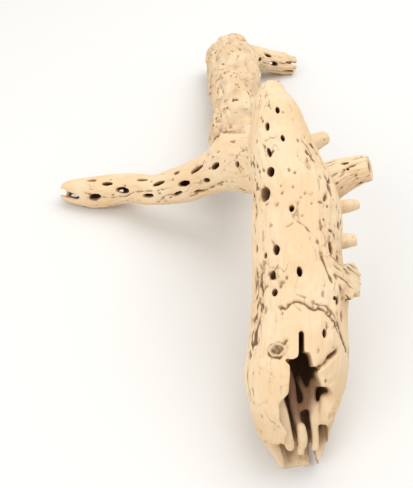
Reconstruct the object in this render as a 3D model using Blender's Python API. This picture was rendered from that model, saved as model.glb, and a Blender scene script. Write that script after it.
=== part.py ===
"""Cholla wood: the weathered woody skeleton of a branching cactus.

A tapered hollow trunk rises from its torn near end on the floor to a blunt horn. At the fork
a hollow left branch and a knobby rear limb run down to the floor, and the rear limb ends in
a splayed side twig. Lengths are in millimetres times MM, +Y runs away from the torn end,
+Z is up, and the origin is the middle of the box that the piece stands in, on the floor.
"""
import math
import random

import bmesh
import bpy
import numpy as np
from mathutils import Matrix, Vector, noise

MM = 0.001

# Driving dimensions in millimetres
GAP = 0.35                  # clearance between neighbouring pieces
RIM_FLARE = 1.18            # a hole's mouth, against its middle
PIT_FLARE = 1.3             # the same where a pit ends blind
PIT_DEPTH = 11.0
HOLE_SIDES = 6              # corners of a lens-shaped hole
HOLE_WAIST = 0.8            # a hole's inner end, against its middle
HOLE_REACH = 0.55           # how near a hole's inner end comes to the axis, in shares of the hollow
HOLE_LEAN = 9.0             # most that a hole turns off the grain, in degrees
ROW_CLEAR = (17, 26)        # room between a row's hole and a listed one, along and round in degrees
ROW_SCATTER = 3.0           # how far a row's hole strays along the limb
ROW_STRETCH = (0.75, 1.2)   # its size, against the row's
CUTTER_OVERSHOOT = 4.0      # how far a cutter stands proud of the surface
FLOOR_BLOCK = 900.0         # side of the block that cuts the feet flat
SAMPLES = 400               # samples that measure a route

# Routes: x, y, z of the middle of the limb, then its radius
TRUNK_ROUTE = (
    (67, -331, 8, 13), (67, -317, 18.5, 22), (66, -298, 33, 30), (67, -278, 47.5, 36.5),
    (69, -262, 58, 38), (72, -226, 75, 36.5), (72, -191, 95, 36), (72, -157, 114, 36),
    (64, -125, 136.5, 29.5), (59, -94, 157.5, 21.5), (56, -79, 168, 15), (58, -68, 175, 8),
)
REAR_ROUTE = (
    (46, -78, 100, 20), (42, -62, 91, 28), (37.5, -25, 76.5, 31), (34, 57, 60, 31),
    (36, 145, 45, 31), (36, 215, 34, 33.5), (33, 268, 28.5, 31), (32, 288, 28, 27),
)
LEFT_ROUTE = (
    (70, -140, 122, 22), (55, -94, 106, 25.5), (36, -69, 93, 25), (18, -59, 80, 22),
    (-2.5, -50.5, 65, 19.5), (-22.5, -45, 51.5, 18), (-51, -35, 36.5, 16), (-84, -17, 24.5, 15.5),
    (-118, -12, 16, 17), (-142, -9, 13.5, 13), (-155, -6, 12.5, 9),
)
STUB_ROUTE = (
    (72, -148, 106, 21), (92, -135, 112, 19), (111, -127, 120, 15.5), (125, -126, 126, 12.5),
    (136, -128, 131, 10.5),
)
TWIG_ROUTE = (
    (38, 258, 32, 20), (62, 274, 27, 18), (84, 279, 21, 15.5), (104, 283, 15, 14),
    (122, 287, 9.5, 12.5),
)
BACK_STUB_ROUTE = ((62, -104, 124, 10), (83, -88, 122, 9.5), (97, -77, 122, 8), (108, -69, 122, 6.5))
PEG_ROUTE = ((92, -160, 110, 6.5), (109, -158, 112.5, 6), (120, -157, 114.5, 5.6), (125, -157, 115, 3.8))
KNOB_ROUTE = ((92, -190, 100, 7), (108, -189, 103, 6.5), (119, -189, 105, 5.2))

# Hollow middles: share of the limb's radius, and the stations along the limb between which it runs
TRUNK_HOLLOW = (0.56, -14, 236)
REAR_HOLLOW = (0.45, 292, 400)
LEFT_HOLLOW = (0.62, 84, 330)
STUB_HOLLOW = (0.50, 46, 90)
TWIG_HOLLOW = (0.55, 46, 110)

# Spacing and sides of the rings that a limb's skin is made of, then of its hollow's
TRUNK_RINGS = (11, 20, 20, 12)
LEFT_RINGS = (11, 14, 24, 8)
REAR_RINGS = (13, 18, 26, 10)
STUB_RINGS = (8, 12, 14, 8)
TWIG_RINGS = (10, 12, 16, 8)
ARM_RINGS = (9, 8)

# Holes: station along the limb, angle round it from the top, length along the grain, width
TRUNK_HOLES = (
    (280, -9, 10.5, 3.4), (267, -35, 10.5, 3.6), (253, -10, 7.5, 3.2), (244, -37, 11, 3.2),
    (229, -42, 9, 7), (211, -55, 13, 11.5), (209, 40, 22, 4.5), (188, -12, 7, 4),
    (191, -72, 9, 4), (137, -6, 9, 3.8), (157, -33, 9.5, 5.5), (137, -38, 7.5, 7),
    (120, -33, 6.5, 5.5), (163, -68, 9, 3.6), (155, -51, 7.5, 3.4), (158, 36, 12, 5),
    (116, 37, 7.5, 7), (107, 56, 10, 5.5), (90, 24, 8.5, 3.4), (180, 58, 8, 4), (151, 51, 8.5, 4),
)
REAR_HOLES = (
    (127, -4, 8, 7), (105, 10, 6, 5), (98, -12, 7, 5), (202, 18, 15, 12), (176, -3, 6, 7),
    (259, -27, 9, 6), (63, -24, 8, 7), (87, -44, 9, 7), (124, -27, 8, 5), (264, -66, 12, 6),
    (152, 26, 7, 5), (187, -48, 9, 8), (226, -20, 7, 6), (243, 4, 7, 6), (299, -6, 11, 7),
    (318, -34, 13, 7), (132, -54, 9, 6), (70, 8, 6, 5),
)
LEFT_HOLES = (
    (271, -3, 15.5, 3.7), (251, -29, 14.5, 4.3), (230, -64, 18.5, 7), (267, -74, 15.5, 8),
    (206, -15, 18.5, 4), (181, -38, 18, 4.3), (151, -61, 16.5, 6), (196, -80, 16.5, 4.8),
    (163, -90, 18.5, 3.5), (121, -81, 10, 5), (130, -39, 20, 4.5), (105, -52, 12.5, 6),
    (66, -68, 8, 6), (139, -108, 15, 4.5), (76, -134, 10, 6.5), (158, -16, 9, 4),
    (303, -63, 44, 7.5), (247, 137, 10, 5), (298, 152, 12, 4),
)
STUB_HOLES = ((56, 9, 9, 2.6), (57, 37, 3, 3), (64, 130, 11, 4), (60, -120, 10, 4))
TWIG_HOLES = (
    (48, 38, 12, 5), (34, 68, 7, 5), (58, 76, 14, 6), (87, 52, 28, 4), (56, -70, 12, 5),
    (87, -20, 28, 4), (87, 110, 28, 4), (62, -125, 11, 4),
)

# Hidden sides carry the staggered rows that the grain makes: first and last station, first and
# last angle, step along, step round, turn per step, length and width
TRUNK_LATTICE = (54, 214, 88, 272, 46, 60, 22, 13, 7)
REAR_LATTICE = (70, 330, 80, 280, 52, 60, 24, 12, 7)
LEFT_LATTICE = (100, 290, 48, 210, 40, 60, 24, 14, 6.5)

# The torn mouth near the trunk's end: to the right of the middle, and along the trunk
MOUTH_OUTLINE = (
    (-26, -12), (-26, 18), (-11, 18), (-10, 27), (-14, 33), (-16, 46), (-9.5, 54), (-9, 73),
    (-15, 78), (-6.5, 77), (-3, 79), (-2, 97), (1.5, 97), (1, 82), (5, 82), (7, 72), (14.5, 72.5),
    (25, 82), (17.5, 74), (9.5, 68.5), (14, 58), (19, 58.5), (23.5, 49.5), (20, 37.5), (20, 14),
    (28, 14), (28, -12),
)
MOUTH_STATION = 0
MOUTH_FLOOR = 2.0           # the mouth's cut starts this far above the trunk's axis
MOUTH_TOP = 70.0
# Notches between the fingers of the torn end: offset to the right, width, depth along the trunk
END_NOTCHES = ((-6, 4.5, 20), (11, 7, 24), (-24, 5, 13), (25, 5, 15))
NOTCH_POINT = 1.6           # width of a notch at its inner end
NOTCH_START = 12.0          # how far before the trunk's end it starts
NOTCH_HEIGHT = 90.0

# The fibrous flake of bark on the trunk's right side: across and along, then its place and tilt
FLAKE_OUTLINE = (
    (-15, 12), (-9, 12), (-3, 9), (3, 7), (9, 10), (17, 13), (22, 8), (24, -3), (21, -14),
    (15, -11), (11, -18), (4, -17), (1, -12), (-3, -12), (-8, -2), (-14, 5),
)
FLAKE_STATION = 138
FLAKE_ANGLE = 45
FLAKE_THICKNESS = 7.5
FLAKE_LIFT = 1.5            # how far its middle stands off the trunk's skin
WELD = 0.02                 # corners nearer than this are one
SHARP_ANGLE = 40.0          # edges sharper than this stay crisp

# Ribs of a skin: height, number round the limb, turn in degrees per millimetre
TRUNK_RIBS = (1.1, 6, 1.3)
LEFT_RIBS = (1.2, 7, 13.3)
TWIG_RIBS = (0.8, 5, 0)
HOLLOW_RIBS = (1.7, 5, 0.8)
# Lumps of a skin: size, height and seed
TRUNK_LUMPS = (26, 3.0, 3.1)
REAR_KNOBS = (15, 5.0, 7.3)
REAR_LUMPS = (34, 5.5, 1.9)
LEFT_LUMPS = (20, 2.0, 5.5)
TWIG_LUMPS = (12, 1.6, 9.1)
HOLLOW_LUMPS = (14, 1.5, 12.4)
# Plates of the trunk's skin: height, angles, their softness, stations, their softness
TRUNK_PLATES = (
    (1.8, -24, 30, 14, 120, 190, 26),
    (3.4, -116, -24, 14, 18, 70, 8),
    (2.2, 26, 110, 16, 44, 74, 8),
)
PLATE_EDGE = 109            # station of the arched edge between two more plates
PLATE_ARCH = 0.006          # how fast that edge bends back from the middle
UPPER_PLATE = (2.6, -44, 42, 12, 46, 6)     # from the edge on, with its length for stations
LOWER_PLATE = (3.0, -30, 40, 12, 62, 7)     # up to the edge, with its first station
CALM_END = (16, 14, 0.9)    # the torn end: where the plates start, over what length, how flat
CALM_HORN = (300, 30)       # the horn: where the plates end and over what length
COLLAR = (2.4, 26, 58, 12)  # the rear limb's swollen fork: height, stations, softness
REAR_WAIST = (-5.5, -125, -60, 40, 140, 195, 30)    # its left side, as rows of plates
REAR_SWELL = (2.6, -125, -60, 40, 305, 376, 24)
ROOT_LUMP = (8.0, -20, 60, 40, 88, 116, 24)     # the left branch's root, as a row of plates
# A limb that comes down to the floor grows smooth beneath: angle, station, length, share
REAR_KEEL = (125, 240, 60, 1.0)
LEFT_KEEL = (140, 240, 30, 0.9)
KEEL_SOFT = 30

# Material colours, linear
WOOD_PALE = (0.80, 0.58, 0.36, 1)
WOOD_WARM = (0.78, 0.55, 0.33, 1)
WOOD_ROUGH = 0.78


def catmull_rom(points, count):
    """Return count rows on the smooth line through the rows of points."""
    rows = np.array(points, float)
    last = len(rows) - 1
    out = []
    for q in np.linspace(0, last, count):
        i = min(int(q), last - 1)
        f = q - i
        p0, p1, p2, p3 = rows[max(i - 1, 0)], rows[i], rows[i + 1], rows[min(i + 2, last)]
        cubic = -p0 + 3 * p1 - 3 * p2 + p3
        square = 2 * p0 - 5 * p1 + 4 * p2 - p3
        out.append(0.5 * (2 * p1 + (p2 - p0) * f + square * f ** 2 + cubic * f ** 3))
    return np.array(out)


class Limb:
    """A route measured along its length, with a side and a top direction at each station."""

    def __init__(self, points):
        rows = catmull_rom(points, SAMPLES)
        self.centre, self.radius = rows[:, :3], rows[:, 3]
        steps = np.linalg.norm(np.diff(self.centre, axis=0), axis=1)
        self.station = np.concatenate([[0.0], np.cumsum(steps)])
        self.length = self.station[-1]

    def at(self, station):
        """Return middle, radius, forward, side and top at a station; ends run on straight."""
        inside = min(max(station, 0.0), self.length)
        middle = self.middle(inside)
        ahead = self.middle(min(inside + 2.0, self.length))
        behind = self.middle(max(inside - 2.0, 0.0))
        forward = (ahead - behind).normalized()
        side = forward.cross(Vector((0, 0, 1))).normalized()
        top = side.cross(forward)
        radius = float(np.interp(inside, self.station, self.radius))
        return middle + forward * (station - inside), radius, forward, side, top

    def middle(self, station):
        return Vector([float(np.interp(station, self.station, self.centre[:, k])) for k in range(3)])

    def locate(self, point):
        """Return the station and the angle round the limb, in degrees, of a point."""
        gaps = np.linalg.norm(self.centre - np.array(point), axis=1)
        station = float(self.station[int(np.argmin(gaps))])
        middle, _, _, side, top = self.at(station)
        out = Vector(point) - middle
        return station, math.degrees(math.atan2(out.dot(side), out.dot(top)))


def link(obj, collection, colour=None):
    """Put an object in its collection, with a wood material or as a cutter."""
    collection.objects.link(obj)
    if colour is None:
        obj.hide_render = True
        obj.display_type = "WIRE"
        return obj
    material = bpy.data.materials.new(obj.name + "_wood")
    material.use_nodes = True
    shader = material.node_tree.nodes["Principled BSDF"]
    shader.inputs["Base Color"].default_value = colour
    shader.inputs["Roughness"].default_value = WOOD_ROUGH
    shader.inputs["Metallic"].default_value = 0.0
    obj.data.materials.append(material)
    return obj


def curve_to_mesh(name, curve):
    """Turn curve data into a welded mesh object and remove the curve."""
    source = bpy.data.objects.new(name + "_curve", curve)
    bpy.context.scene.collection.objects.link(source)
    bpy.context.view_layer.update()
    graph = bpy.context.evaluated_depsgraph_get()
    mesh = bpy.data.meshes.new_from_object(source.evaluated_get(graph))
    obj = bpy.data.objects.new(name, mesh)
    obj.matrix_world = source.matrix_world
    bpy.data.objects.remove(source)
    bpy.data.curves.remove(curve)
    weld(obj)
    return obj


def weld(obj):
    shape = bmesh.new()
    shape.from_mesh(obj.data)
    bmesh.ops.remove_doubles(shape, verts=shape.verts, dist=WELD * MM)
    bmesh.ops.triangulate(shape, faces=shape.faces)
    bmesh.ops.recalc_face_normals(shape, faces=shape.faces)
    shape.to_mesh(obj.data)
    shape.free()


def tube(name, limb, start, end, pace, sides, share=1.0):
    """Make a closed tube along a limb, its rings pace millimetres apart."""
    curve = bpy.data.curves.new(name, "CURVE")
    curve.dimensions = "3D"
    curve.twist_mode = "Z_UP"
    curve.bevel_depth = MM
    curve.bevel_resolution = (sides - 4) // 2
    curve.use_fill_caps = True
    rings = max(int(round((end - start) / pace)), 3)
    spline = curve.splines.new("POLY")
    spline.points.add(rings)
    for k in range(rings + 1):
        middle, radius, _, _, _ = limb.at(start + (end - start) * k / rings)
        spline.points[k].co = (*(middle * MM), 1)
        spline.points[k].radius = radius * share
    return curve_to_mesh(name, curve)


def shape_surface(obj, limb, relief):
    """Move each vertex of a tube out from the limb's middle by relief(station, angle, point)."""
    for vertex in obj.data.vertices:
        point = vertex.co / MM
        station, angle = limb.locate(point)
        middle = limb.at(station)[0]
        out = point - middle
        if out.length > 0.5:
            vertex.co = (point + out.normalized() * relief(station, angle, point)) * MM


def lumps(point, size, height, seed):
    """Smooth rise and fall, size millimetres across and about height deep."""
    return height * noise.noise(point / size + Vector((seed, 2.7 * seed, -seed)))


def step(value, edge, width):
    """Rise from 0 to 1 as value passes edge."""
    t = min(max((value - edge) / width + 0.5, 0.0), 1.0)
    return t * t * (3 - 2 * t)


def window(value, low, high, width):
    return step(value, low, width) * step(-value, -high, width)


def ribs(station, angle, height, count, turn):
    return height * math.cos(math.radians(count * angle + turn * station))


def keel(station, angle, edge, start, length, share):
    """Return 1, and less on the underside where a limb nears the floor."""
    return 1 - share * step(abs(angle), edge, KEEL_SOFT) * step(station, start, length)


def plate(station, angle, height, low, high, soft, start, end, fade):
    """Rise by height between two angles and two stations."""
    return height * window(angle, low, high, soft) * window(station, start, end, fade)


def trunk_relief(station, angle, point):
    """Ribs along the grain, plates of the torn end that overlap like shingles, and lumps."""
    rise = ribs(station, angle, *TRUNK_RIBS) + lumps(point, *TRUNK_LUMPS)
    for row in TRUNK_PLATES:
        rise += plate(station, angle, *row)
    edge = PLATE_EDGE - PLATE_ARCH * angle ** 2
    height, low, high, soft, length, fade = UPPER_PLATE
    rise += plate(station, angle, height, low, high, soft, edge, edge + length, fade)
    height, low, high, soft, start, fade = LOWER_PLATE
    rise += plate(station, angle, height, low, high, soft, start, edge, fade)
    first, length, flat = CALM_END
    rise *= 1 - flat * step(-station, -first, length)
    last, fade = CALM_HORN
    return rise * step(-station, -last, fade)


def rear_relief(station, angle, point):
    """Knobs, with a swollen fork, and a waist and a swollen end on the left."""
    height, start, end, fade = COLLAR
    knobs = lumps(point, *REAR_KNOBS) + lumps(point, *REAR_LUMPS)
    knobs = knobs * keel(station, angle, *REAR_KEEL) + height * window(station, start, end, fade)
    return knobs + plate(station, angle, *REAR_WAIST) + plate(station, angle, *REAR_SWELL)


def left_relief(station, angle, point):
    """Long waves of the grain between the holes, and a lump at the root."""
    waves = ribs(station, angle, *LEFT_RIBS) + lumps(point, *LEFT_LUMPS)
    return waves * keel(station, angle, *LEFT_KEEL) + plate(station, angle, *ROOT_LUMP)


def twig_relief(station, angle, point):
    return ribs(station, angle, *TWIG_RIBS) + lumps(point, *TWIG_LUMPS)


def no_relief(station, angle, point):
    return 0.0


def hollow_relief(station, angle, point):
    """Ribs that run down the inside of the trunk."""
    return ribs(station, angle, *HOLLOW_RIBS) + lumps(point, *HOLLOW_LUMPS)


def hole_matrix(limb, station, angle, lean):
    """Place a hole: X along the grain, Y round the limb, Z out of the wood. Return its radius too."""
    middle, radius, forward, side, top = limb.at(station)
    turn = math.radians(angle)
    out = side * math.sin(turn) + top * math.cos(turn)
    grain = Matrix.Rotation(math.radians(lean), 3, out) @ forward
    frame = Matrix((grain, out.cross(grain), out)).transposed().to_4x4()
    return Matrix.Translation(middle * MM) @ frame @ Matrix.Scale(MM, 4), radius


def add_hole(shape, limb, hole, core, lean):
    """Add one lens-shaped cutter, flared at its mouth, that ends in the hollow or in a blind point."""
    station, angle, length, width = hole
    place, radius = hole_matrix(limb, station, angle, lean)
    blind = core is None
    inner = radius - PIT_DEPTH if blind else radius * core * HOLE_REACH
    outer = radius + CUTTER_OVERSHOOT
    lift = Matrix.Translation((0, 0, (inner + outer) / 2))
    bmesh.ops.create_cone(
        shape, cap_ends=True, segments=HOLE_SIDES, radius1=0.0 if blind else HOLE_WAIST,
        radius2=PIT_FLARE if blind else RIM_FLARE, depth=outer - inner,
        matrix=place @ lift @ Matrix.Diagonal((length / 2, width / 2, 1, 1)))


def is_clear(station, angle, holes):
    """Tell whether a place is far enough from every hole."""
    along, around = ROW_CLEAR
    for s, a, _, _ in holes:
        if abs(station - s) < along and abs((angle - a + 180) % 360 - 180) < around:
            return False
    return True


def lattice_holes(lattice, seen, seed):
    """Return the staggered holes of a limb's hidden side, clear of the holes that are listed."""
    first, last, low, high, pace, apart, turn, length, width = lattice
    rng = random.Random(seed)
    found = []
    for row in range(int((last - first) / pace) + 1):
        for column in range(int(360 / apart)):
            angle = (low + column * apart + row * turn) % 360
            station = first + row * pace + (column % 2) * pace / 2 + rng.uniform(-ROW_SCATTER, ROW_SCATTER)
            stretch = rng.uniform(*ROW_STRETCH)
            if low <= angle <= high and station <= last and is_clear(station, angle, seen):
                found.append((station, angle, length * stretch, width * stretch))
    return found


def hole_cutter(name, limb, holes, core, seed, collection):
    """Make one cutter that holds all of a limb's holes."""
    rng = random.Random(seed)
    shape = bmesh.new()
    for hole in holes:
        add_hole(shape, limb, hole, core, rng.uniform(-HOLE_LEAN, HOLE_LEAN))
    mesh = bpy.data.meshes.new(name)
    shape.to_mesh(mesh)
    shape.free()
    return link(bpy.data.objects.new(name, mesh), collection)


def outline_solid(name, outline, half_depth):
    """Make a flat outline, given in millimetres, into a closed slab."""
    curve = bpy.data.curves.new(name, "CURVE")
    curve.dimensions = "2D"
    curve.fill_mode = "BOTH"
    curve.extrude = half_depth * MM
    spline = curve.splines.new("POLY")
    spline.points.add(len(outline) - 1)
    spline.use_cyclic_u = True
    for point, (across, along) in zip(spline.points, outline):
        point.co = (across * MM, along * MM, 0, 1)
    return curve_to_mesh(name, curve)


def apply_matrix(obj, matrix):
    obj.data.transform(matrix)
    obj.data.update()


def trunk_plane(limb, station, angle, lift):
    """Place a flat outline: X round the limb, Y along it, Z out of it, lifted off its axis."""
    middle, _, forward, side, top = limb.at(station)
    turn = math.radians(angle)
    out = side * math.sin(turn) + top * math.cos(turn)
    across = forward.cross(out)
    frame = Matrix((across, forward, out)).transposed().to_4x4()
    return Matrix.Translation((middle + out * lift) * MM) @ frame


def boolean(obj, other, operation):
    """Cut or join with an exact Boolean, and keep only its result."""
    modifier = obj.modifiers.new(operation.lower(), "BOOLEAN")
    modifier.operation = operation
    modifier.solver = "EXACT"
    modifier.use_self = True
    modifier.object = other
    return modifier


def bake(obj):
    """Replace an object's mesh with what its modifiers make of it."""
    bpy.context.view_layer.update()
    graph = bpy.context.evaluated_depsgraph_get()
    mesh = bpy.data.meshes.new_from_object(obj.evaluated_get(graph))
    obj.modifiers.clear()
    obj.data = mesh


def skin(name, limb, pace, sides, relief, extra=0.0):
    """Make a limb's whole outside, pushed out by extra to trim a neighbour and leave a gap."""
    obj = tube(name, limb, 0, limb.length, pace, sides)
    shape_surface(obj, limb, lambda station, angle, point: relief(station, angle, point) + extra)
    return obj


def floor_block(collection):
    """Make the block whose top face is the floor."""
    shape = bmesh.new()
    bmesh.ops.create_cube(shape, size=FLOOR_BLOCK * MM)
    bmesh.ops.translate(shape, verts=shape.verts, vec=(0, 0, -FLOOR_BLOCK / 2 * MM))
    mesh = bpy.data.meshes.new("floor_block")
    shape.to_mesh(mesh)
    shape.free()
    return link(bpy.data.objects.new("floor_block", mesh), collection)


def notch_cutters(limb, collection):
    """Make wedges that part the fingers of the trunk's torn end."""
    cutters = []
    for number, (offset, width, depth) in enumerate(END_NOTCHES):
        outer, inner = width / 2, NOTCH_POINT / 2
        outline = (
            (offset - outer, -NOTCH_START), (offset + outer, -NOTCH_START),
            (offset + inner, depth), (offset - inner, depth),
        )
        cutter = outline_solid(f"end_notch_{number}", outline, NOTCH_HEIGHT / 2)
        apply_matrix(cutter, trunk_plane(limb, MOUTH_STATION, 0, 0))
        cutters.append(link(cutter, collection))
    return cutters


def make_trunk(parts, cutters, floor):
    """Build the trunk with its horn, pegs, back stub and flake, hollow and torn open."""
    limb = Limb(TRUNK_ROUTE)
    pace, sides, hollow_pace, hollow_sides = TRUNK_RINGS
    trunk = link(skin("trunk", limb, pace, sides, trunk_relief), parts, WOOD_PALE)
    for name, route in (("back_stub", BACK_STUB_ROUTE), ("peg", PEG_ROUTE), ("knob", KNOB_ROUTE)):
        arm = Limb(route)
        boolean(trunk, link(tube(name, arm, 0, arm.length, *ARM_RINGS), cutters), "UNION")
    flake = outline_solid("flake", FLAKE_OUTLINE, FLAKE_THICKNESS / 2)
    lift = limb.at(FLAKE_STATION)[1] + FLAKE_LIFT
    apply_matrix(flake, trunk_plane(limb, FLAKE_STATION, FLAKE_ANGLE, lift))
    boolean(trunk, link(flake, cutters), "UNION")
    share, start, end = TRUNK_HOLLOW
    hollow = tube("trunk_hollow", limb, start, end, hollow_pace, hollow_sides, share)
    shape_surface(hollow, limb, hollow_relief)
    boolean(trunk, link(hollow, cutters), "DIFFERENCE")
    mouth = outline_solid("mouth", MOUTH_OUTLINE, (MOUTH_TOP - MOUTH_FLOOR) / 2)
    apply_matrix(mouth, trunk_plane(limb, MOUTH_STATION, 0, (MOUTH_TOP + MOUTH_FLOOR) / 2))
    boolean(trunk, link(mouth, cutters), "DIFFERENCE")
    for notch in notch_cutters(limb, cutters):
        boolean(trunk, notch, "DIFFERENCE")
    holes = list(TRUNK_HOLES) + lattice_holes(TRUNK_LATTICE, TRUNK_HOLES, 11)
    boolean(trunk, hole_cutter("trunk_holes", limb, holes, share, 5, cutters), "DIFFERENCE")
    boolean(trunk, floor, "DIFFERENCE")
    return trunk


def make_branch(name, limb, hollow, holes, through, relief, rings, neighbours, parts, cutters, floor):
    """Build a limb that meets its neighbours across a small gap, hollow, with holes or pits."""
    pace, sides, hollow_pace, hollow_sides = rings
    branch = link(skin(name, limb, pace, sides, relief), parts, WOOD_WARM)
    for neighbour in neighbours:
        boolean(branch, neighbour, "DIFFERENCE")
    share, start, end = hollow
    core = tube(name + "_hollow", limb, start, end, hollow_pace, hollow_sides, share)
    boolean(branch, link(core, cutters), "DIFFERENCE")
    pierced = hole_cutter(name + "_holes", limb, holes, share if through else None, len(holes), cutters)
    boolean(branch, pierced, "DIFFERENCE")
    boolean(branch, floor, "DIFFERENCE")
    return branch


def stand_at_origin(objects):
    """Parent the pieces to an empty that brings the middle of their box's floor to the origin."""
    bpy.context.view_layer.update()
    graph = bpy.context.evaluated_depsgraph_get()
    corners = [obj.evaluated_get(graph).matrix_world @ Vector(c)
               for obj in objects for c in obj.evaluated_get(graph).bound_box]
    low = [min(c[k] for c in corners) for k in range(3)]
    high = [max(c[k] for c in corners) for k in range(3)]
    root = bpy.data.objects.new("cholla_root", None)
    bpy.context.scene.collection.objects.link(root)
    for obj in objects:
        obj.parent = root
    root.location = (-(low[0] + high[0]) / 2, -(low[1] + high[1]) / 2, -low[2])


def finish(obj):
    """Bake, weld and shade one piece."""
    bake(obj)
    weld(obj)
    obj.data.shade_smooth()
    obj.data.set_sharp_from_angle(angle=math.radians(SHARP_ANGLE))


def main():
    for obj in list(bpy.data.objects):
        bpy.data.objects.remove(obj)
    parts = bpy.data.collections.new("cholla_wood")
    cutters = bpy.data.collections.new("cutters")
    bpy.context.scene.collection.children.link(parts)
    bpy.context.scene.collection.children.link(cutters)
    floor = floor_block(cutters)
    trunk_limb, back_stub = Limb(TRUNK_ROUTE), Limb(BACK_STUB_ROUTE)
    left_limb, rear_limb = Limb(LEFT_ROUTE), Limb(REAR_ROUTE)
    trunk_skin = link(skin("trunk_skin", trunk_limb, *TRUNK_RINGS[:2], trunk_relief, GAP), cutters)
    stub_skin = link(skin("back_stub_skin", back_stub, *ARM_RINGS, no_relief, GAP), cutters)
    left_skin = link(skin("left_skin", left_limb, *LEFT_RINGS[:2], left_relief, GAP), cutters)
    rear_skin = link(skin("rear_skin", rear_limb, *REAR_RINGS[:2], rear_relief, GAP), cutters)
    rear_holes = list(REAR_HOLES) + lattice_holes(REAR_LATTICE, REAR_HOLES, 23)
    left_holes = list(LEFT_HOLES) + lattice_holes(LEFT_LATTICE, LEFT_HOLES, 37)
    pieces = [
        make_trunk(parts, cutters, floor),
        make_branch("left_branch", left_limb, LEFT_HOLLOW, left_holes, True, left_relief,
                    LEFT_RINGS, [trunk_skin, stub_skin], parts, cutters, floor),
        make_branch("rear_limb", rear_limb, REAR_HOLLOW, rear_holes, False, rear_relief,
                    REAR_RINGS, [trunk_skin, stub_skin, left_skin], parts, cutters, floor),
        make_branch("right_stub", Limb(STUB_ROUTE), STUB_HOLLOW, STUB_HOLES, True, twig_relief,
                    STUB_RINGS, [trunk_skin], parts, cutters, floor),
        make_branch("rear_twig", Limb(TWIG_ROUTE), TWIG_HOLLOW, TWIG_HOLES, True, twig_relief,
                    TWIG_RINGS, [rear_skin], parts, cutters, floor),
    ]
    for piece in pieces:
        finish(piece)
    for cutter in list(cutters.objects):
        bpy.data.objects.remove(cutter)
    stand_at_origin(pieces)


main()
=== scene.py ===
"""Cholla wood: the finish of a weathered, hollow, branching cactus skeleton on a pale floor.

Each limb's mesh starts from a copy of its solid. The copy is remeshed finely, its skin is
redrawn along the grain, and the lips of its holes are turned in. Lengths inside the
functions are in millimetres, and the meshes are in metres.
"""
import math
import random

import bmesh
import bpy
import numpy as np
from bpy.props import FloatProperty, FloatVectorProperty, IntProperty, PointerProperty
from mathutils import Matrix, Vector, noise
from mathutils.bvhtree import BVHTree
from mathutils.kdtree import KDTree


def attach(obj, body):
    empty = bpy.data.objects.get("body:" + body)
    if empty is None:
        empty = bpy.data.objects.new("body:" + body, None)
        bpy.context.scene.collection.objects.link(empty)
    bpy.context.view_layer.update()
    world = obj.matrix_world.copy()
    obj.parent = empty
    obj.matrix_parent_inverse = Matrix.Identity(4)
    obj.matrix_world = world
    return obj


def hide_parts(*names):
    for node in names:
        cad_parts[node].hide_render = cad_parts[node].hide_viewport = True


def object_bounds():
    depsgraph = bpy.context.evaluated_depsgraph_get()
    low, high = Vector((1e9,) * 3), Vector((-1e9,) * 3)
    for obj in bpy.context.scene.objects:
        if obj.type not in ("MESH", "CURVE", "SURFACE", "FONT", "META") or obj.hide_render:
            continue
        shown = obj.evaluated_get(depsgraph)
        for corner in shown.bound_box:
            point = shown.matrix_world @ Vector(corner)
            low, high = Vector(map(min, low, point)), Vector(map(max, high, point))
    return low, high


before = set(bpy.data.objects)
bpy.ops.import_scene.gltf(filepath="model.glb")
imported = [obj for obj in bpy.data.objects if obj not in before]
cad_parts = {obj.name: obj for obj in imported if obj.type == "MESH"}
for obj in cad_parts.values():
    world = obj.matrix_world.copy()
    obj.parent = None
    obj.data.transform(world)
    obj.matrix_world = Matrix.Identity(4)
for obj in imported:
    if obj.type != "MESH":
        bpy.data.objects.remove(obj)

bl_info = {
    "name": "Cholla Wood",
    "version": (1, 0, 0),
    "blender": (4, 5, 0),
    "location": "View3D > Sidebar > Cholla",
    "description": "Dresses a branching piece of weathered cholla wood on a pale floor",
    "category": "Object",
}

MM = 0.001
BODY = "root"
CAD_BOX = [list(corner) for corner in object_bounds()]

# Lowest x and y of the solids where the routes were laid out; those in the frame give the move
ROUTE_LOW = (-157.3, -332.1)

# Routes of the limbs before that move: x, y, z and radius, in millimetres
ROUTES = {
    "trunk": (
        (67, -331, 8, 13), (67, -317, 18.5, 22), (66, -298, 33, 30), (67, -278, 47.5, 36.5),
        (69, -262, 58, 38), (72, -226, 75, 36.5), (72, -191, 95, 36), (72, -157, 114, 36),
        (64, -125, 136.5, 29.5), (59, -94, 157.5, 21.5), (56, -79, 168, 15), (58, -68, 175, 8),
    ),
    "rear_limb": (
        (46, -78, 100, 20), (42, -62, 91, 28), (37.5, -25, 76.5, 31), (34, 57, 60, 31),
        (36, 145, 45, 31), (36, 215, 34, 33.5), (33, 268, 28.5, 31), (32, 288, 28, 27),
    ),
    "left_branch": (
        (70, -140, 122, 22), (55, -94, 106, 25.5), (36, -69, 93, 25), (18, -59, 80, 22),
        (-2.5, -50.5, 65, 19.5), (-22.5, -45, 51.5, 18), (-51, -35, 36.5, 16),
        (-84, -17, 24.5, 15.5), (-118, -12, 16, 17), (-142, -9, 13.5, 13), (-155, -6, 12.5, 9),
    ),
    "right_stub": (
        (72, -148, 106, 21), (92, -135, 112, 19), (111, -127, 120, 15.5), (125, -126, 126, 12.5),
        (136, -128, 131, 10.5),
    ),
    "rear_twig": (
        (38, 258, 32, 20), (62, 274, 27, 18), (84, 279, 21, 15.5), (104, 283, 15, 14),
        (122, 287, 9.5, 12.5),
    ),
}
SAMPLES = 500               # samples that measure a route
BLOCK = 4000                # points that are located at once
GRID_ALONG = 2.0            # the skin map's step along a limb, in millimetres
GRID_ROUND = 4.0            # and round it, in degrees
PROBE_START = 14            # how far outside a route's radius the skin is looked for
PROBE_SLACK = 8             # the skin lies this near that radius; all else is a hole or a peg
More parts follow.
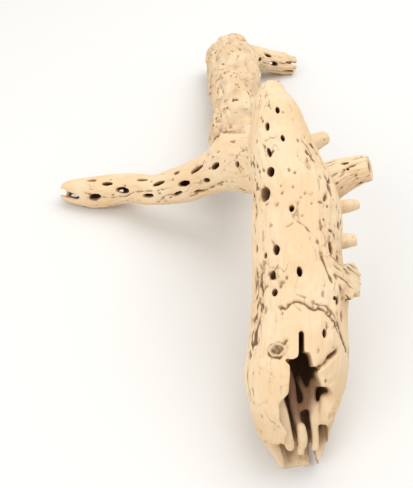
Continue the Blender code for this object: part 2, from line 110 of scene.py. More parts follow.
FILL_STEPS = (4, 3)         # steps of the map, along and round, that fill its holes
BLUR_STEPS = (2, 2)         # and that blur its facets
CALM_ROWS = 7               # rows of the map, either way, whose mean is the calm skin
BALLS_A_ROW = 6             # balls that a strand gets for each point of its route
MOST_TRIANGLES = 190000     # a finished piece has no more than this
OUTSIDE = (1.5, 4.5)        # marks on the skin fade out between these depths under it
ROUND_RADIUS = (8, 50)      # least and greatest radius for lengths measured round a limb
SURFACE, WALL = 1.6, 2.6    # the skin lies within the first depth, a hole's wall past the second
LIP_REACH = 12.0            # a hole's lip and swell end this far from its wall
SWELL = (5.5, 2.2)          # how far from the wall the wood swells, and over what width
RAYS = 14                   # rays that tell how open the space before a point is
RAY_REACH = 42.0            # how far they look
RAY_LIFT = 0.9              # how far over the skin they start
RAY_SPREAD = 0.96           # how far they lean, from 0 for straight out to 1 for flat
NEAR_END = -20              # a station before the trunk's furthest torn tip

# Sizes of the marks that cover all the wood, along and across the grain
FIBRES = (16, 2.6, 2.6)
STRANDS = (42, 7.5, 7.5)
HAIRLINES = (20, 6.5, 6.5)
PINHOLES = (10, 6, 6)
STRETCH = 2.2               # lumps of rough skin are this many times longer than wide


def catmull_rom(points, count):
    """Return count rows on the smooth line through the rows of points."""
    rows = np.array(points, float)
    last = len(rows) - 1
    place = np.linspace(0, last, count)
    i = np.minimum(place.astype(int), last - 1)
    f = (place - i)[:, None]
    p0, p1 = rows[np.maximum(i - 1, 0)], rows[i]
    p2, p3 = rows[i + 1], rows[np.minimum(i + 2, last)]
    cubic = -p0 + 3 * p1 - 3 * p2 + p3
    square = 2 * p0 - 5 * p1 + 4 * p2 - p3
    return 0.5 * (2 * p1 + (p2 - p0) * f + square * f ** 2 + cubic * f ** 3)


def dot(a, b):
    return (a * b).sum(-1)


def smoothstep(value, low, high):
    t = np.clip((value - low) / (high - low), 0, 1)
    return t * t * (3 - 2 * t)


def window(value, low, high, soft):
    """Return 1 between low and high, falling to 0 over soft outside them."""
    return smoothstep(value, low - soft, low) * (1 - smoothstep(value, high, high + soft))


def ridge(value, place, width):
    """Return 1 at a place, falling away on both sides over a width."""
    return np.exp(-((value - place) / width) ** 2)


def noise_at(points, scale, seed):
    """Return smooth noise of about -1 to 1 at rows of points, its lumps scale millimetres across."""
    shift = Vector((seed * 1.7, -seed * 2.3, seed * 0.9))
    return np.array([noise.noise(Vector(row) + shift) for row in points / np.array(scale, float)])


class Limb:
    """A limb's middle line, with directions at each sample, and a map of its skin's radius."""

    def __init__(self, name):
        move = np.array([CAD_BOX[0][0] / MM - ROUTE_LOW[0], CAD_BOX[0][1] / MM - ROUTE_LOW[1], 0])
        rows = catmull_rom(ROUTES[name], SAMPLES)
        self.centre, self.radius = rows[:, :3] + move, rows[:, 3]
        steps = np.linalg.norm(np.diff(self.centre, axis=0), axis=1)
        self.station = np.concatenate([[0.0], np.cumsum(steps)])
        self.length = self.station[-1]
        forward = np.gradient(self.centre, axis=0)
        self.forward = forward / np.linalg.norm(forward, axis=1)[:, None]
        side = np.cross(self.forward, [0, 0, 1.0])
        self.side = side / np.linalg.norm(side, axis=1)[:, None]
        self.top = np.cross(self.side, self.forward)
        self.skin, self.calm = None, None

    def locate(self, points):
        """Return station, angle in degrees, distance from the middle, and the nearest sample."""
        index = np.empty(len(points), int)
        for start in range(0, len(points), BLOCK):
            block = points[start:start + BLOCK]
            gaps = ((block[:, None] - self.centre[None]) ** 2).sum(-1)
            index[start:start + BLOCK] = gaps.argmin(1)
        away = points - self.centre[index]
        along = dot(away, self.forward[index])
        across, up = dot(away, self.side[index]), dot(away, self.top[index])
        angle = np.degrees(np.arctan2(across, up))
        return self.station[index] + along, angle, np.hypot(across, up), index

    def out(self, index, angle):
        """Return the unit direction out of the limb at each sample and angle."""
        turn = np.radians(angle)[:, None]
        return self.side[index] * np.sin(turn) + self.top[index] * np.cos(turn)

    def read_skin(self, tree):
        """Measure the radius of the solid's skin on a grid, without its holes and pegs."""
        stations = np.arange(0, self.length + GRID_ALONG, GRID_ALONG)
        angles = np.arange(-180, 180, GRID_ROUND)
        index = np.searchsorted(self.station, np.minimum(stations, self.length)).clip(0, SAMPLES - 1)
        grid = np.full((len(stations), len(angles)), np.nan)
        for row, sample in enumerate(index):
            far = self.radius[sample] + PROBE_START
            for column, angle in enumerate(angles):
                out = self.out(np.array([sample]), np.array([angle]))[0]
                start = (self.centre[sample] + out * far) * MM
                hit = tree.ray_cast(Vector(start), Vector(-out), far * MM)[3]
                if hit is not None and abs(PROBE_START - hit / MM) < PROBE_SLACK:
                    grid[row, column] = far - hit / MM
        plain = self.radius[index][:, None] * np.ones(len(angles))
        self.skin = clean_map(grid, plain)
        self.calm = neighbours(self.skin, CALM_ROWS, 0).mean(0)

    def skin_at(self, station, angle, grid):
        """Look up a map of the skin between its grid points."""
        row = np.clip(station / GRID_ALONG, 0, len(grid) - 1.001)
        column = ((angle + 180) / GRID_ROUND) % grid.shape[1]
        i, j = row.astype(int), column.astype(int) % grid.shape[1]
        k = (j + 1) % grid.shape[1]
        f, g = row - i, column - np.floor(column)
        low = grid[i, j] * (1 - g) + grid[i, k] * g
        high = grid[i + 1, j] * (1 - g) + grid[i + 1, k] * g
        return low * (1 - f) + high * f


def neighbours(grid, along, around):
    """Return the grid moved by each step in a window, wrapped round the limb."""
    padded = np.pad(grid, ((along, along), (0, 0)), mode="edge")
    moved = []
    for a in range(2 * along + 1):
        for b in range(-around, around + 1):
            moved.append(np.roll(padded[a:a + len(grid)], b, axis=1))
    return np.array(moved)


def clean_map(grid, plain):
    """Fill holes in the measured skin from around them, and smooth away the flat facets."""
    offset = grid - plain
    for _ in range(3):
        stack = neighbours(offset, *FILL_STEPS)
        missing = np.isnan(stack).all(0)
        stack[:, missing] = 0.0
        offset = np.where(missing, np.nan, np.nanmedian(stack, 0))
    offset = np.where(np.isnan(offset), 0.0, offset)
    for _ in range(2):
        offset = neighbours(offset, *BLUR_STEPS).mean(0)
    return plain + offset


def read_points(mesh):
    points = np.empty(len(mesh.vertices) * 3)
    mesh.vertices.foreach_get("co", points)
    return points.reshape(-1, 3) / MM


def write_points(mesh, points):
    mesh.vertices.foreach_set("co", (points * MM).astype(np.float32).ravel())
    mesh.update()


def read_normals(mesh):
    normals = np.empty(len(mesh.vertices) * 3)
    mesh.vertices.foreach_get("normal", normals)
    return normals.reshape(-1, 3)


def write_attribute(mesh, name, values):
    """Store one number or one vector for each vertex."""
    vector = values.ndim == 2
    layer = mesh.attributes.new(name, "FLOAT_VECTOR" if vector else "FLOAT", "POINT")
    layer.data.foreach_set("vector" if vector else "value", values.astype(np.float32).ravel())


def tree_of(mesh):
    mesh.calc_loop_triangles()
    faces = [tuple(triangle.vertices) for triangle in mesh.loop_triangles]
    return BVHTree.FromPolygons([vertex.co for vertex in mesh.vertices], faces)


def merged_copy(node):
    """Copy a solid's loose triangles into one closed mesh."""
    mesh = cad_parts[node].data.copy()
    mesh.materials.clear()
    shape = bmesh.new()
    shape.from_mesh(mesh)
    bmesh.ops.remove_doubles(shape, verts=shape.verts, dist=0.01 * MM)
    shape.to_mesh(mesh)
    shape.free()
    return mesh


def sink_base(mesh, hosts, reach=1.0, sink=4.0):
    """Push a limb's sawn base into the limbs that it grows from, so that no gap shows."""
    points = read_points(mesh)
    for host in hosts:
        tree = tree_of(merged_copy(host))
        for k, point in enumerate(points):
            near, normal, _, distance = tree.find_nearest(Vector(point * MM))
            if near is not None and distance < reach * MM:
                points[k] = np.array(near) / MM - np.array(normal) * sink
    write_points(mesh, points)


def add_object(name, data):
    made = bpy.data.objects.new(name, data)
    bpy.context.scene.collection.objects.link(made)
    return made


def apply_modifier(mesh, kind, **settings):
    """Return a new mesh: this one with a modifier applied."""
    source = add_object("source", mesh)
    modifier = source.modifiers.new("change", kind)
    for key, value in settings.items():
        setattr(modifier, key, value)
    bpy.context.view_layer.update()
    graph = bpy.context.evaluated_depsgraph_get()
    changed = bpy.data.meshes.new_from_object(source.evaluated_get(graph))
    bpy.data.objects.remove(source)
    return changed


def thin_out(mesh, most):
    """Drop triangles where the surface is flattest, until no more than most are left."""
    mesh.calc_loop_triangles()
    count = len(mesh.loop_triangles)
    if count <= most:
        return mesh
    return apply_modifier(mesh, "DECIMATE", ratio=most / count)


def relax(mesh, rounds):
    """Smooth a mesh with each vertex drawn towards its neighbours."""
    shape = bmesh.new()
    shape.from_mesh(mesh)
    for _ in range(rounds):
        bmesh.ops.smooth_vert(
            shape, verts=shape.verts, factor=0.5, use_axis_x=True, use_axis_y=True, use_axis_z=True)
    shape.to_mesh(mesh)
    shape.free()
    mesh.update()


def edge_ends(mesh):
    ends = np.empty(len(mesh.edges) * 2, int)
    mesh.edges.foreach_get("vertices", ends)
    return ends.reshape(-1, 2)


def blur(values, ends, rounds):
    """Average a number for each vertex with its neighbours'."""
    count = np.bincount(ends.ravel(), minlength=len(values)) + 1.0
    for _ in range(rounds):
        total = values.copy()
        total += np.bincount(ends[:, 0], values[ends[:, 1]], len(values))
        total += np.bincount(ends[:, 1], values[ends[:, 0]], len(values))
        values = total / count
    return values


def nearest_distance(points, targets, reach):
    """Return each point's distance to the nearest target, at most reach."""
    if len(targets) == 0:
        return np.full(len(points), reach)
    tree = KDTree(len(targets))
    for k, target in enumerate(targets):
        tree.insert(target, k)
    tree.balance()
    return np.minimum([tree.find(point)[2] for point in points], reach)


def hemisphere(count):
    """Return directions spread evenly over the upper half of a sphere."""
    k = np.arange(count) + 0.5
    up = 1 - k / count * RAY_SPREAD
    turn = k * math.pi * (3 - math.sqrt(5))
    flat = np.sqrt(1 - up ** 2)
    return np.stack([flat * np.cos(turn), flat * np.sin(turn), up], 1)


def openness(points, normals, tree):
    """Return the share of rays from each point that meet no wood."""
    directions = hemisphere(RAYS)
    weight = directions[:, 2] / directions[:, 2].sum()
    helper = np.where(np.abs(normals[:, 2:3]) < 0.9, [[0, 0, 1.0]], [[1.0, 0, 0]])
    across = np.cross(helper, normals)
    across /= np.linalg.norm(across, axis=1)[:, None]
    up = np.cross(normals, across)
    result = np.zeros(len(points))
    starts = (points + normals * RAY_LIFT) * MM
    for k, start in enumerate(starts):
        aims = directions[:, :1] * across[k] + directions[:, 1:2] * up[k] + directions[:, 2:] * normals[k]
        origin = Vector(start)
        for aim, share in zip(aims, weight):
            if tree.ray_cast(origin, Vector(aim), RAY_REACH * MM)[0] is None:
                result[k] += share
    return result


class Skin:
    """The vertices of a limb's fine mesh, told by where they lie on the limb."""

    def __init__(self, limb, mesh):
        self.limb, self.mesh = limb, mesh
        self.ends = edge_ends(mesh)
        self.points = read_points(mesh)
        self.station, self.angle, distance, index = limb.locate(self.points)
        self.radius = limb.skin_at(self.station, self.angle, limb.skin)
        self.depth = self.radius - distance
        self.out = limb.out(index, self.angle)
        self.outside = 1 - smoothstep(self.depth, *OUTSIDE)
        self.turning = np.clip(self.radius, *ROUND_RADIUS)
        turn = np.radians(self.angle)
        self.grain = np.stack([self.station, distance * np.sin(turn), distance * np.cos(turn)], 1)
        self.wobble = noise_at(self.points, 5.0, 3.0)
        self.strength = 0.35 + 0.65 * smoothstep(noise_at(self.points, 7.0, 23.0), -0.25, 0.15)
        self.painted_shade_and_stain = np.zeros(len(self.points))
        self.rise = np.zeros(len(self.points))

    def around(self, angle):
        """Return how far round the limb each vertex lies from an angle, in millimetres."""
        return np.radians((self.angle - angle + 180) % 360 - 180) * self.turning

    def line_distance(self, path):
        """Return each vertex's distance along the surface to a path of (station, angle)."""
        nearest = np.full(len(self.points), 1e3)
        for (s0, a0), (s1, a1) in zip(path, path[1:]):
            x, y = self.station - s0, self.around(a0)
            dx, dy = s1 - s0, math.radians(a1 - a0) * self.turning
            t = np.clip((x * dx + y * dy) / (dx ** 2 + dy ** 2 + 1e-6), 0, 1)
            nearest = np.minimum(nearest, np.hypot(x - t * dx, y - t * dy))
        return nearest

    def darken(self, amount):
        """Darken the wood towards brown to at least this amount; mostly painted shade."""
        self.painted_shade_and_stain = np.maximum(self.painted_shade_and_stain, amount)

    def carve(self, cracks):
        """Cut grooves of (width, depth, darkness, path) that wander, and come and go, a little."""
        for width, depth, dark, path in cracks:
            gap = self.line_distance(path) + 0.8 * self.wobble
            groove = ridge(gap, 0, width) * self.outside * self.strength
            self.rise -= depth * groove
            # Painted shade in the groove
            self.darken(dark * groove)

    def roughen(self, share, size, height, dark, seed):
        """Break up part of the skin into small lumps with finer ones on them, and painted shade between
        them.
        """
        scale = np.array((STRETCH * size, size, size))
        rough = noise_at(self.grain, scale, seed) + 0.5 * noise_at(self.grain, scale / 2.2, seed + 3)
        share = share * self.outside
        self.rise += share * height * rough
        self.darken(share * dark * smoothstep(-rough, 0.1, 0.55))

    def dent(self, pits):
        """Press in pits of (station, angle, length, width, depth, darkness), each with a soft rim.

        The distance away from a pit's middle is 1 at its edge.
        """
        for station, angle, length, width, depth, dark in pits:
            x, y = (self.station - station) / length * 2, self.around(angle) / width * 2
            away = np.hypot(x, y) + 0.15 * self.wobble
            bowl = (1 - smoothstep(away, 0.3, 1.1)) * self.outside
            rim = ridge(away, 1.35, 0.25) * self.outside
            self.rise += 0.25 * min(depth, 1.5) * rim - depth * bowl
            # Painted shade in the pit
            self.darken(dark * (1 - smoothstep(away, 0.55, 1.05)) * self.outside)

    def weather(self, look, seed):
        """Give the whole surface fibres along the grain, low lumps, hairline cracks and pinholes."""
        grain, shift = self.grain, seed * 10
        face = 0.35 + 0.65 * (1 - smoothstep(np.abs(self.depth), 1.5, 5))
        fibre = noise_at(grain, FIBRES, 4.0 + shift)
        strand = noise_at(grain, STRANDS, 8.0 + shift)
        grit = noise_at(self.points, 3.2, 2.0 + shift)
        self.rise += face * (look.fibre_height * (0.8 * fibre + 1.6 * strand) + look.grit * grit)
        split = noise_at(grain, HAIRLINES, 6.0 + shift)
        patch = smoothstep(noise_at(self.points, 17, 9.0 + shift), 0.02, 0.3)
        hair = ridge(split, 0, 0.045) * patch * self.outside * look.cracks
        self.rise -= 0.8 * hair
        # Painted shade in the hairline cracks
        self.darken(0.55 * hair)
        away, chance = pinholes(grain, PINHOLES, 5.0 + shift)
        hole = (1 - smoothstep(away, 0.13, 0.27)) * (chance < look.pinholes) * self.outside
        self.rise -= 1.3 * hole
        # Painted shade in the pinholes
        self.darken(0.6 * hole)

    def calm_rings(self, share):
        """Smooth away the solid's lumps along the limb, by a share."""
        calm = self.limb.skin_at(self.station, self.angle, self.limb.calm)
        self.rise += share * (calm - self.radius) * (1 - smoothstep(np.abs(self.depth), 3, 10))

    def ease_facets(self, ease):
        """Smooth away the solid's flat facets, but keep deeper holes and pegs."""
        kept = np.sign(self.depth) * np.maximum(np.abs(self.depth) - ease, 0)
        share = 1 - smoothstep(np.abs(self.depth), 0, 6)
        self.points += self.out * (share * (self.depth - kept))[:, None]

    def turn_lips(self, look, torn):
        """Roll the edges of the holes inwards, except torn ones, and swell the wood outside them."""
        surface, walls = np.abs(self.depth) < SURFACE, self.depth > WALL
        gap = np.full(len(self.points), LIP_REACH)
        gap[surface] = nearest_distance(self.points[surface], self.points[walls], LIP_REACH)
        self.lip = blur(np.where(surface, ridge(gap, 0, look.lip_width), 0.0), self.ends, 2)
        swell = ridge(gap, *SWELL) * self.outside
        rolled = np.ones(len(self.points))
        if torn:
            station, angle = torn
            mouth = window(self.angle, -angle, angle, 8)
            rolled -= 0.9 * window(self.station, NEAR_END, station, 8) * mouth
        self.rise += rolled * (look.lip_swell * blur(swell, self.ends, 2) - look.lip_depth * self.lip)

    def apply(self):
        """Move the vertices by what the marks and the weather add, and keep them above the floor."""
        self.points += self.out * self.rise[:, None]
        self.points[:, 2] = np.maximum(self.points[:, 2], 0.0)
        write_points(self.mesh, self.points)

    def store(self):
        """Store what the material reads: grain, dark marks that are mostly painted shade, lip, and hollows
        and how shut in each place is, for painted shade.
        """
        self.mesh.update()
        normals = read_normals(self.mesh)
        closed = 1 - openness(self.points, normals, tree_of(self.mesh))
        total = np.zeros_like(self.points)
        count = np.bincount(self.ends.ravel(), minlength=len(self.points))
        for k in range(3):
            total[:, k] = np.bincount(self.ends[:, 0], self.points[self.ends[:, 1], k], len(self.points))
            total[:, k] += np.bincount(self.ends[:, 1], self.points[self.ends[:, 0], k], len(self.points))
        # Hollows, for the painted shade in creases
        bend = dot(total / np.maximum(count, 1)[:, None] - self.points, normals)
        write_attribute(self.mesh, "grain", self.grain * MM)
        write_attribute(self.mesh, "shade", blur(closed, self.ends, 2))
        write_attribute(self.mesh, "lip", self.lip)
        write_attribute(self.mesh, "painted_shade_and_stain", self.painted_shade_and_stain)
        write_attribute(self.mesh, "painted_crease_shade", blur(bend, self.ends, 1))


def pinholes(points, scale, seed):
    """Return the distance to the nearest scattered point, in cells, and a chance for each point."""
    shift = Vector((seed, -seed * 0.7, seed * 1.3))
    away, chance = np.empty(len(points)), np.empty(len(points))
    for k, row in enumerate(points / np.array(scale, float)):
        gaps, places = noise.voronoi(Vector(row) + shift)
        away[k] = gaps[0]
        chance[k] = (abs(places[0].x) * 7.31 + abs(places[0].y) * 3.77) % 1.0
    return away, chance


def strand_mesh(limb, rows):
    """Make a strand of wood: close-set balls along rows of station, angle, share of radius, radius."""
    shape = bmesh.new()
    for station, angle, share, radius in catmull_rom(rows, BALLS_A_ROW * len(rows)):
        sample = int(np.searchsorted(limb.station, min(max(station, 0), limb.length)).clip(0, SAMPLES - 1))
        out = limb.out(np.array([sample]), np.array([angle]))[0]
        beyond = min(station, 0) + max(station - limb.length, 0)
        place = limb.centre[sample] + out * limb.radius[sample] * share + limb.forward[sample] * beyond
        matrix = Matrix.Translation(Vector(place * MM)) @ Matrix.Scale(radius * MM, 4)
        bmesh.ops.create_icosphere(shape, subdivisions=2, radius=1.0, matrix=matrix)
    mesh = bpy.data.meshes.new("strand")
    shape.to_mesh(mesh)
    shape.free()
    return mesh


def join_strands(mesh, limb, strands):
    """Join strands to a solid's mesh; the remesh that follows fuses them."""
    shape = bmesh.new()
    shape.from_mesh(mesh)
    for rows in strands:
        strand = strand_mesh(limb, rows)
        shape.from_mesh(strand)
        bpy.data.meshes.remove(strand)
    shape.to_mesh(mesh)
    shape.free()


def dress_limb(name, node, slot_name, detail, hosts=(), strands=(), share=1.0, ease=1.0, torn=None):
    """Make a limb's finished piece from its solid: fuse its strands, redraw its skin and colour it.

    share and ease multiply the look's face size and the depth of facets that are smoothed away.
    """
    look = bpy.context.scene.cholla_wood
    limb = Limb(node)
    source = merged_copy(node)
    limb.read_skin(tree_of(source))
    if hosts:
        sink_base(source, hosts)
    join_strands(source, limb, strands)
    mesh = apply_modifier(source, "REMESH", mode="VOXEL", voxel_size=look.face_size * share * MM)
    relax(mesh, look.relax_rounds)
    skin = Skin(limb, mesh)
    skin.ease_facets(look.ease * ease)
    skin.turn_lips(look, torn)
    detail(skin, look)
    skin.apply()
    skin.store()
    finish_piece(name, node, thin_out(mesh, MOST_TRIANGLES), wood_material(slot_name, look))


def finish_piece(name, node, mesh, material):
    """Make the object of a finished mesh and join it to the frame."""
    piece = add_object(name, mesh)
    mesh.materials.clear()
    mesh.materials.append(material)
    mesh.shade_smooth()
    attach(piece, BODY)
    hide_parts(node)


class Wire:
    """A shader socket that takes Python's operators, each of which adds its Math node."""

    def __init__(self, graph, socket):
        self.graph = graph
        self.socket = socket

    def math(self, operation, *values):
        return self.graph.node("ShaderNodeMath", {"operation": operation}, dict(enumerate(values)))

    def __add__(self, other):
        return self.math("ADD", self, other)

    def __radd__(self, other):
        return self.math("ADD", other, self)

    def __sub__(self, other):
        return self.math("SUBTRACT", self, other)

    def __rsub__(self, other):
        return self.math("SUBTRACT", other, self)

    def __mul__(self, other):
        return self.math("MULTIPLY", self, other)

    def __rmul__(self, other):
        return self.math("MULTIPLY", other, self)

    def clip(self):
        return self.graph.node("ShaderNodeClamp", {}, {"Value": self})


class Graph:
    """A material's node tree."""

    def __init__(self, name):
        self.material = bpy.data.materials.new(name)
        self.material.use_nodes = True
        self.tree = self.material.node_tree
        self.shader = self.tree.nodes["Principled BSDF"]

    def feed(self, socket, value):
        if isinstance(value, Wire):
            self.tree.links.new(value.socket, socket)
        else:
            socket.default_value = value

    def node(self, kind, settings, inputs, output=0):
        """Add a node: its settings first, then its sockets' values or links."""
        made = self.tree.nodes.new(kind)
        for key, value in settings.items():
            setattr(made, key, value)
        for key, value in inputs.items():
            self.feed(made.inputs[key], value)
        return Wire(self, made.outputs[output])

    def attribute(self, name, output="Fac"):
        return self.node("ShaderNodeAttribute", {"attribute_name": name}, {}, output)

    def mapping(self, vector, scale):
        return self.node("ShaderNodeMapping", {}, {"Vector": vector, "Scale": scale})

    def noise(self, vector, scale, detail, rough):
        return self.node("ShaderNodeTexNoise", {}, {
            "Vector": vector, "Scale": scale, "Detail": detail, "Roughness": rough})

    def range(self, value, low, high, to_low=0.0, to_high=1.0):
        return self.node("ShaderNodeMapRange", {"interpolation_type": "SMOOTHSTEP"}, {
            "Value": value, "From Min": low, "From Max": high, "To Min": to_low, "To Max": to_high})

    def mix(self, factor, a, b):
        """Mix two colours; a Mix node's colour sockets are its seventh and eighth."""
        return self.node("ShaderNodeMix", {"data_type": "RGBA"}, {0: factor, 6: a, 7: b}, 2)


def wood_material(name, look):
    """Pale weathered wood with grain along the limb; painted shade: warm lips, brown where little light
    gets in.
    """
    g = Graph(name)
    grain = g.attribute("grain", "Vector")
    place = g.node("ShaderNodeTexCoord", {}, {}, "Object")
    shade, painted_shade_and_stain, lip, painted_crease_shade = (g.attribute(key) for key in ("shade", "painted_shade_and_stain", "lip", "painted_crease_shade"))
    fibre = g.noise(g.mapping(grain, (22, 420, 420)), 1.0, 4.0, 0.6)
    fine = g.noise(g.mapping(grain, (70, 1300, 1300)), 1.0, 3.0, 0.6)
    patch = g.noise(place, 26.0, 3.0, 0.55)
    mottle = g.noise(place, 120.0, 3.0, 0.6)
    colour = g.mix(g.range(patch, 0.35, 0.68), tuple(look.pale), tuple(look.warm))
    layers = (
        (g.range(fibre, 0.52, 0.72) * 0.34, look.streak_and_crease_shade),
        (g.range(mottle, 0.56, 0.74) * 0.22, look.warm),
        # Painted shade: creases take the streaks' colour
        (g.range(painted_crease_shade, 0.04, 0.3) * 0.6, look.streak_and_crease_shade),
        # Painted shade: the holes' turned-in lips are a little warmer and darker
        (lip * 0.25, look.warm),
        # Painted shade: tan, then brown, where the rays from the wood meet wood
        ((g.range(shade, 0.25, 0.62) * 0.8).clip(), look.tan),
        (g.range(shade + fibre * 0.18, 0.62, 1.0), look.brown),
        # Mostly painted shade in cracks, pits, hollows and the mouth, with some dark marks of the wood's
        # own
        (g.range(painted_shade_and_stain + fine * 0.3, 0.25, 1.0), look.brown),
    )
    for share, tint in layers:
        colour = g.mix(share, colour, tuple(tint))
    g.feed(g.shader.inputs["Base Color"], colour)
    g.feed(g.shader.inputs["Roughness"], g.range(fibre, 0.2, 0.8, 0.72, 0.9))
    height = fibre * 0.7 + fine * 0.35 + mottle * 0.35
    relief = {"Strength": look.bump, "Distance": 0.0006, "Height": height}
    g.feed(g.shader.inputs["Normal"], g.node("ShaderNodeBump", {}, relief, "Normal"))
    g.shader.inputs["Specular IOR Level"].default_value = 0.25
    return g.material


def number_property(name, description, number):
    return FloatProperty(name=name, description=description, default=number)


def colour_property(name, description, colour):
    return FloatVectorProperty(name=name, description=description, subtype="COLOR", size=4, default=colour)


class ChollaWood(bpy.types.PropertyGroup):
    """Sizes and colours of the wood."""

    face_size: number_property("Face size", "Width of a face of the fine mesh, in mm", 1.1)
    relax_rounds: IntProperty(
        name="Relax rounds", description="Smoothing rounds of the fine mesh", default=3)
    ease: number_property("Facet ease", "Depth of facets that are smoothed away, in mm", 1.2)
    lip_depth: number_property("Lip depth", "How far a hole's lip turns in, in mm", 0.8)
    lip_width: number_property("Lip width", "How far a hole's lip spreads, in mm", 2.0)
    lip_swell: number_property("Lip swell", "Height of the wood round a hole, in mm", 0.5)
    fibre_height: number_property("Fibre height", "Height of the grain, in mm", 0.45)
    grit: number_property("Grit", "Height of the fine roughness, in mm", 0.25)
    cracks: number_property("Cracks", "Share of the hairline cracks that show", 1.0)
    pinholes: number_property("Pinholes", "Share of the pinholes that are open", 0.3)
    pale: colour_property("Pale wood", "Colour of the sun-bleached skin", (0.80, 0.63, 0.42, 1.0))
    warm: colour_property("Warm wood", "Colour of the warmer patches", (0.78, 0.56, 0.34, 1.0))
    # The streaks' colour is also the painted shade in creases
    streak_and_crease_shade: colour_property("Streaks", "Colour of the darker grain", (0.60, 0.40, 0.22, 1.0))
    # Painted shade: tan where the wood is half shut in
    tan: colour_property("Tan", "Colour of the holes' lips and of shallow pits", (0.50, 0.30, 0.15, 1.0))
    # Painted shade deep in the holes, and in the dark marks, takes this brown
    brown: colour_property("Brown", "Colour deep in the holes", (0.20, 0.105, 0.055, 1.0))
    bump: number_property("Bump", "Strength of the fine grain", 0.6)


class ChollaStage(bpy.types.PropertyGroup):
    """The camera, the light and the floor."""

    camera_place: FloatVectorProperty(
        name="Camera", description="Place of the camera", subtype="TRANSLATION", unit="LENGTH", size=3,
        default=(0.0081, -0.5736, 0.46125))
    camera_down: FloatProperty(
        name="Look down", description="How far the camera looks down", subtype="ANGLE", unit="ROTATION",
        default=math.radians(42))
    lens: number_property("Lens", "Focal length, in mm", 50.0)
    floor_colour: colour_property("Floor", "Colour of the floor", (0.76, 0.755, 0.74, 1.0))
    floor_width: FloatProperty(
        name="Floor width", description="Width of the floor", unit="LENGTH", default=8.0)
    sky: number_property("Sky", "Strength of the even light", 0.82)
    key_power: number_property("Key light", "Power of the large soft light, in watts", 15.0)
    fill_power: number_property("Fill light", "Power of the light by the camera, in watts", 9.0)


# Cracks and seams of the trunk: width, depth and darkness of the painted shade in them, then places by
# station and angle
TRUNK_CRACKS = (
    (1.1, 1.2, 0.85, ((165, 16), (158, 18), (147, 20), (136, 25), (129, 30))),
    (1.3, 1.3, 0.7, ((136, 33), (126, 41), (120, 53))),
    (1.6, 1.8, 0.9, ((222, 65), (208, 36), (196, 29))),
    (3.2, 1.6, 0.15, ((313, 5), (307, 7), (302, 3), (296, -6))),
    (0.8, 0.6, 0.55, ((303, -23), (297, -36), (290, -34))),
    (0.9, 0.8, 0.8, ((176, -5), (173, 2), (169, 7), (166, 12))),
    (0.8, 0.6, 0.5, ((172, -21), (173, -15), (175, -10))),
    (1.0, 0.8, 0.7, ((148, -28), (144, -30), (139, -36))),
    (2.2, 1.8, 0.9, ((139, -44), (135, -37), (132, -29), (124, -26))),
    (1.7, 1.4, 0.85, ((135, -42), (129, -48), (125, -55))),
    (2.0, 1.8, 0.95, ((141, -64), (132, -62), (123, -56), (115, -58), (107, -61), (99, -62), (92, -63),
                      (85, -64))),
    (1.2, 1.4, 0.85, ((124, -54), (117, -57), (111, -52), (104, -57))),
    (0.8, 0.6, 0.6, ((116, -8), (115, -3), (113, 3))),
    (1.0, 0.9, 0.75, ((110, 9), (109, 16), (109, 23), (106, 30), (102, 36))),
    (1.3, 5.0, 1.0, ((73, 22), (76, 29), (79, 36), (82, 43))),
    (1.5, 2.0, 0.8, ((84, -16), (82, -18), (80, -14))),
    (0.8, 1.2, 0.9, ((77, -36), (75, -28), (75, -20), (78, -14))),
    (0.9, 0.8, 0.5, ((105, -19), (109, -26))),
    (2.0, 1.2, 0.25, ((104, -34), (96, -31), (91, -33), (86, -36))),
    (1.8, 1.8, 0.95, ((100, 41), (93, 49), (88, 55), (84, 66), (83, 82))),
    (1.1, 1.0, 0.85, ((216, -82), (204, -75), (197, -71), (191, -74), (181, -72), (175, -70))),
    (0.9, 0.6, 0.5, ((174, -52), (164, -54), (154, -54))),
    (1.1, 0.8, 0.4, ((213, 21), (204, 21), (198, 14), (200, 7))),
    (0.8, 0.6, 0.6, ((298, -27), (291, -28), (283, -25))),
    (0.8, 0.6, 0.4, ((270, 19), (258, 16))),
    (1.0, 0.8, 0.65, ((249, 21), (243, 29), (236, 30), (232, 23))),
    (2.0, 1.5, 0.8, ((239, 50), (233, 56), (227, 60))),
    (1.2, 1.2, 0.85, ((250, -42), (247, -39), (242, -36), (244, -30))),
    (1.5, 1.5, 0.9, ((79, -77), (72, -68), (63, -75), (54, -75), (48, -69), (44, -60))),
    (0.9, 0.9, 0.8, ((66, -56), (58, -62), (50, -61))),
    (1.3, 1.3, 0.8, ((44, -58), (46, -48), (47, -40))),
    (1.1, 1.1, 0.7, ((15, -62), (17, -45), (19, -36))),
    (1.0, 0.9, 0.6, ((177, -40), (166, -39), (159, -34))),
    (0.8, 0.5, 0.3, ((69, -48), (67, -36), (63, -27))),
    (0.8, 0.7, 0.5, ((57, -20), (45, -24), (35, -30))),
)
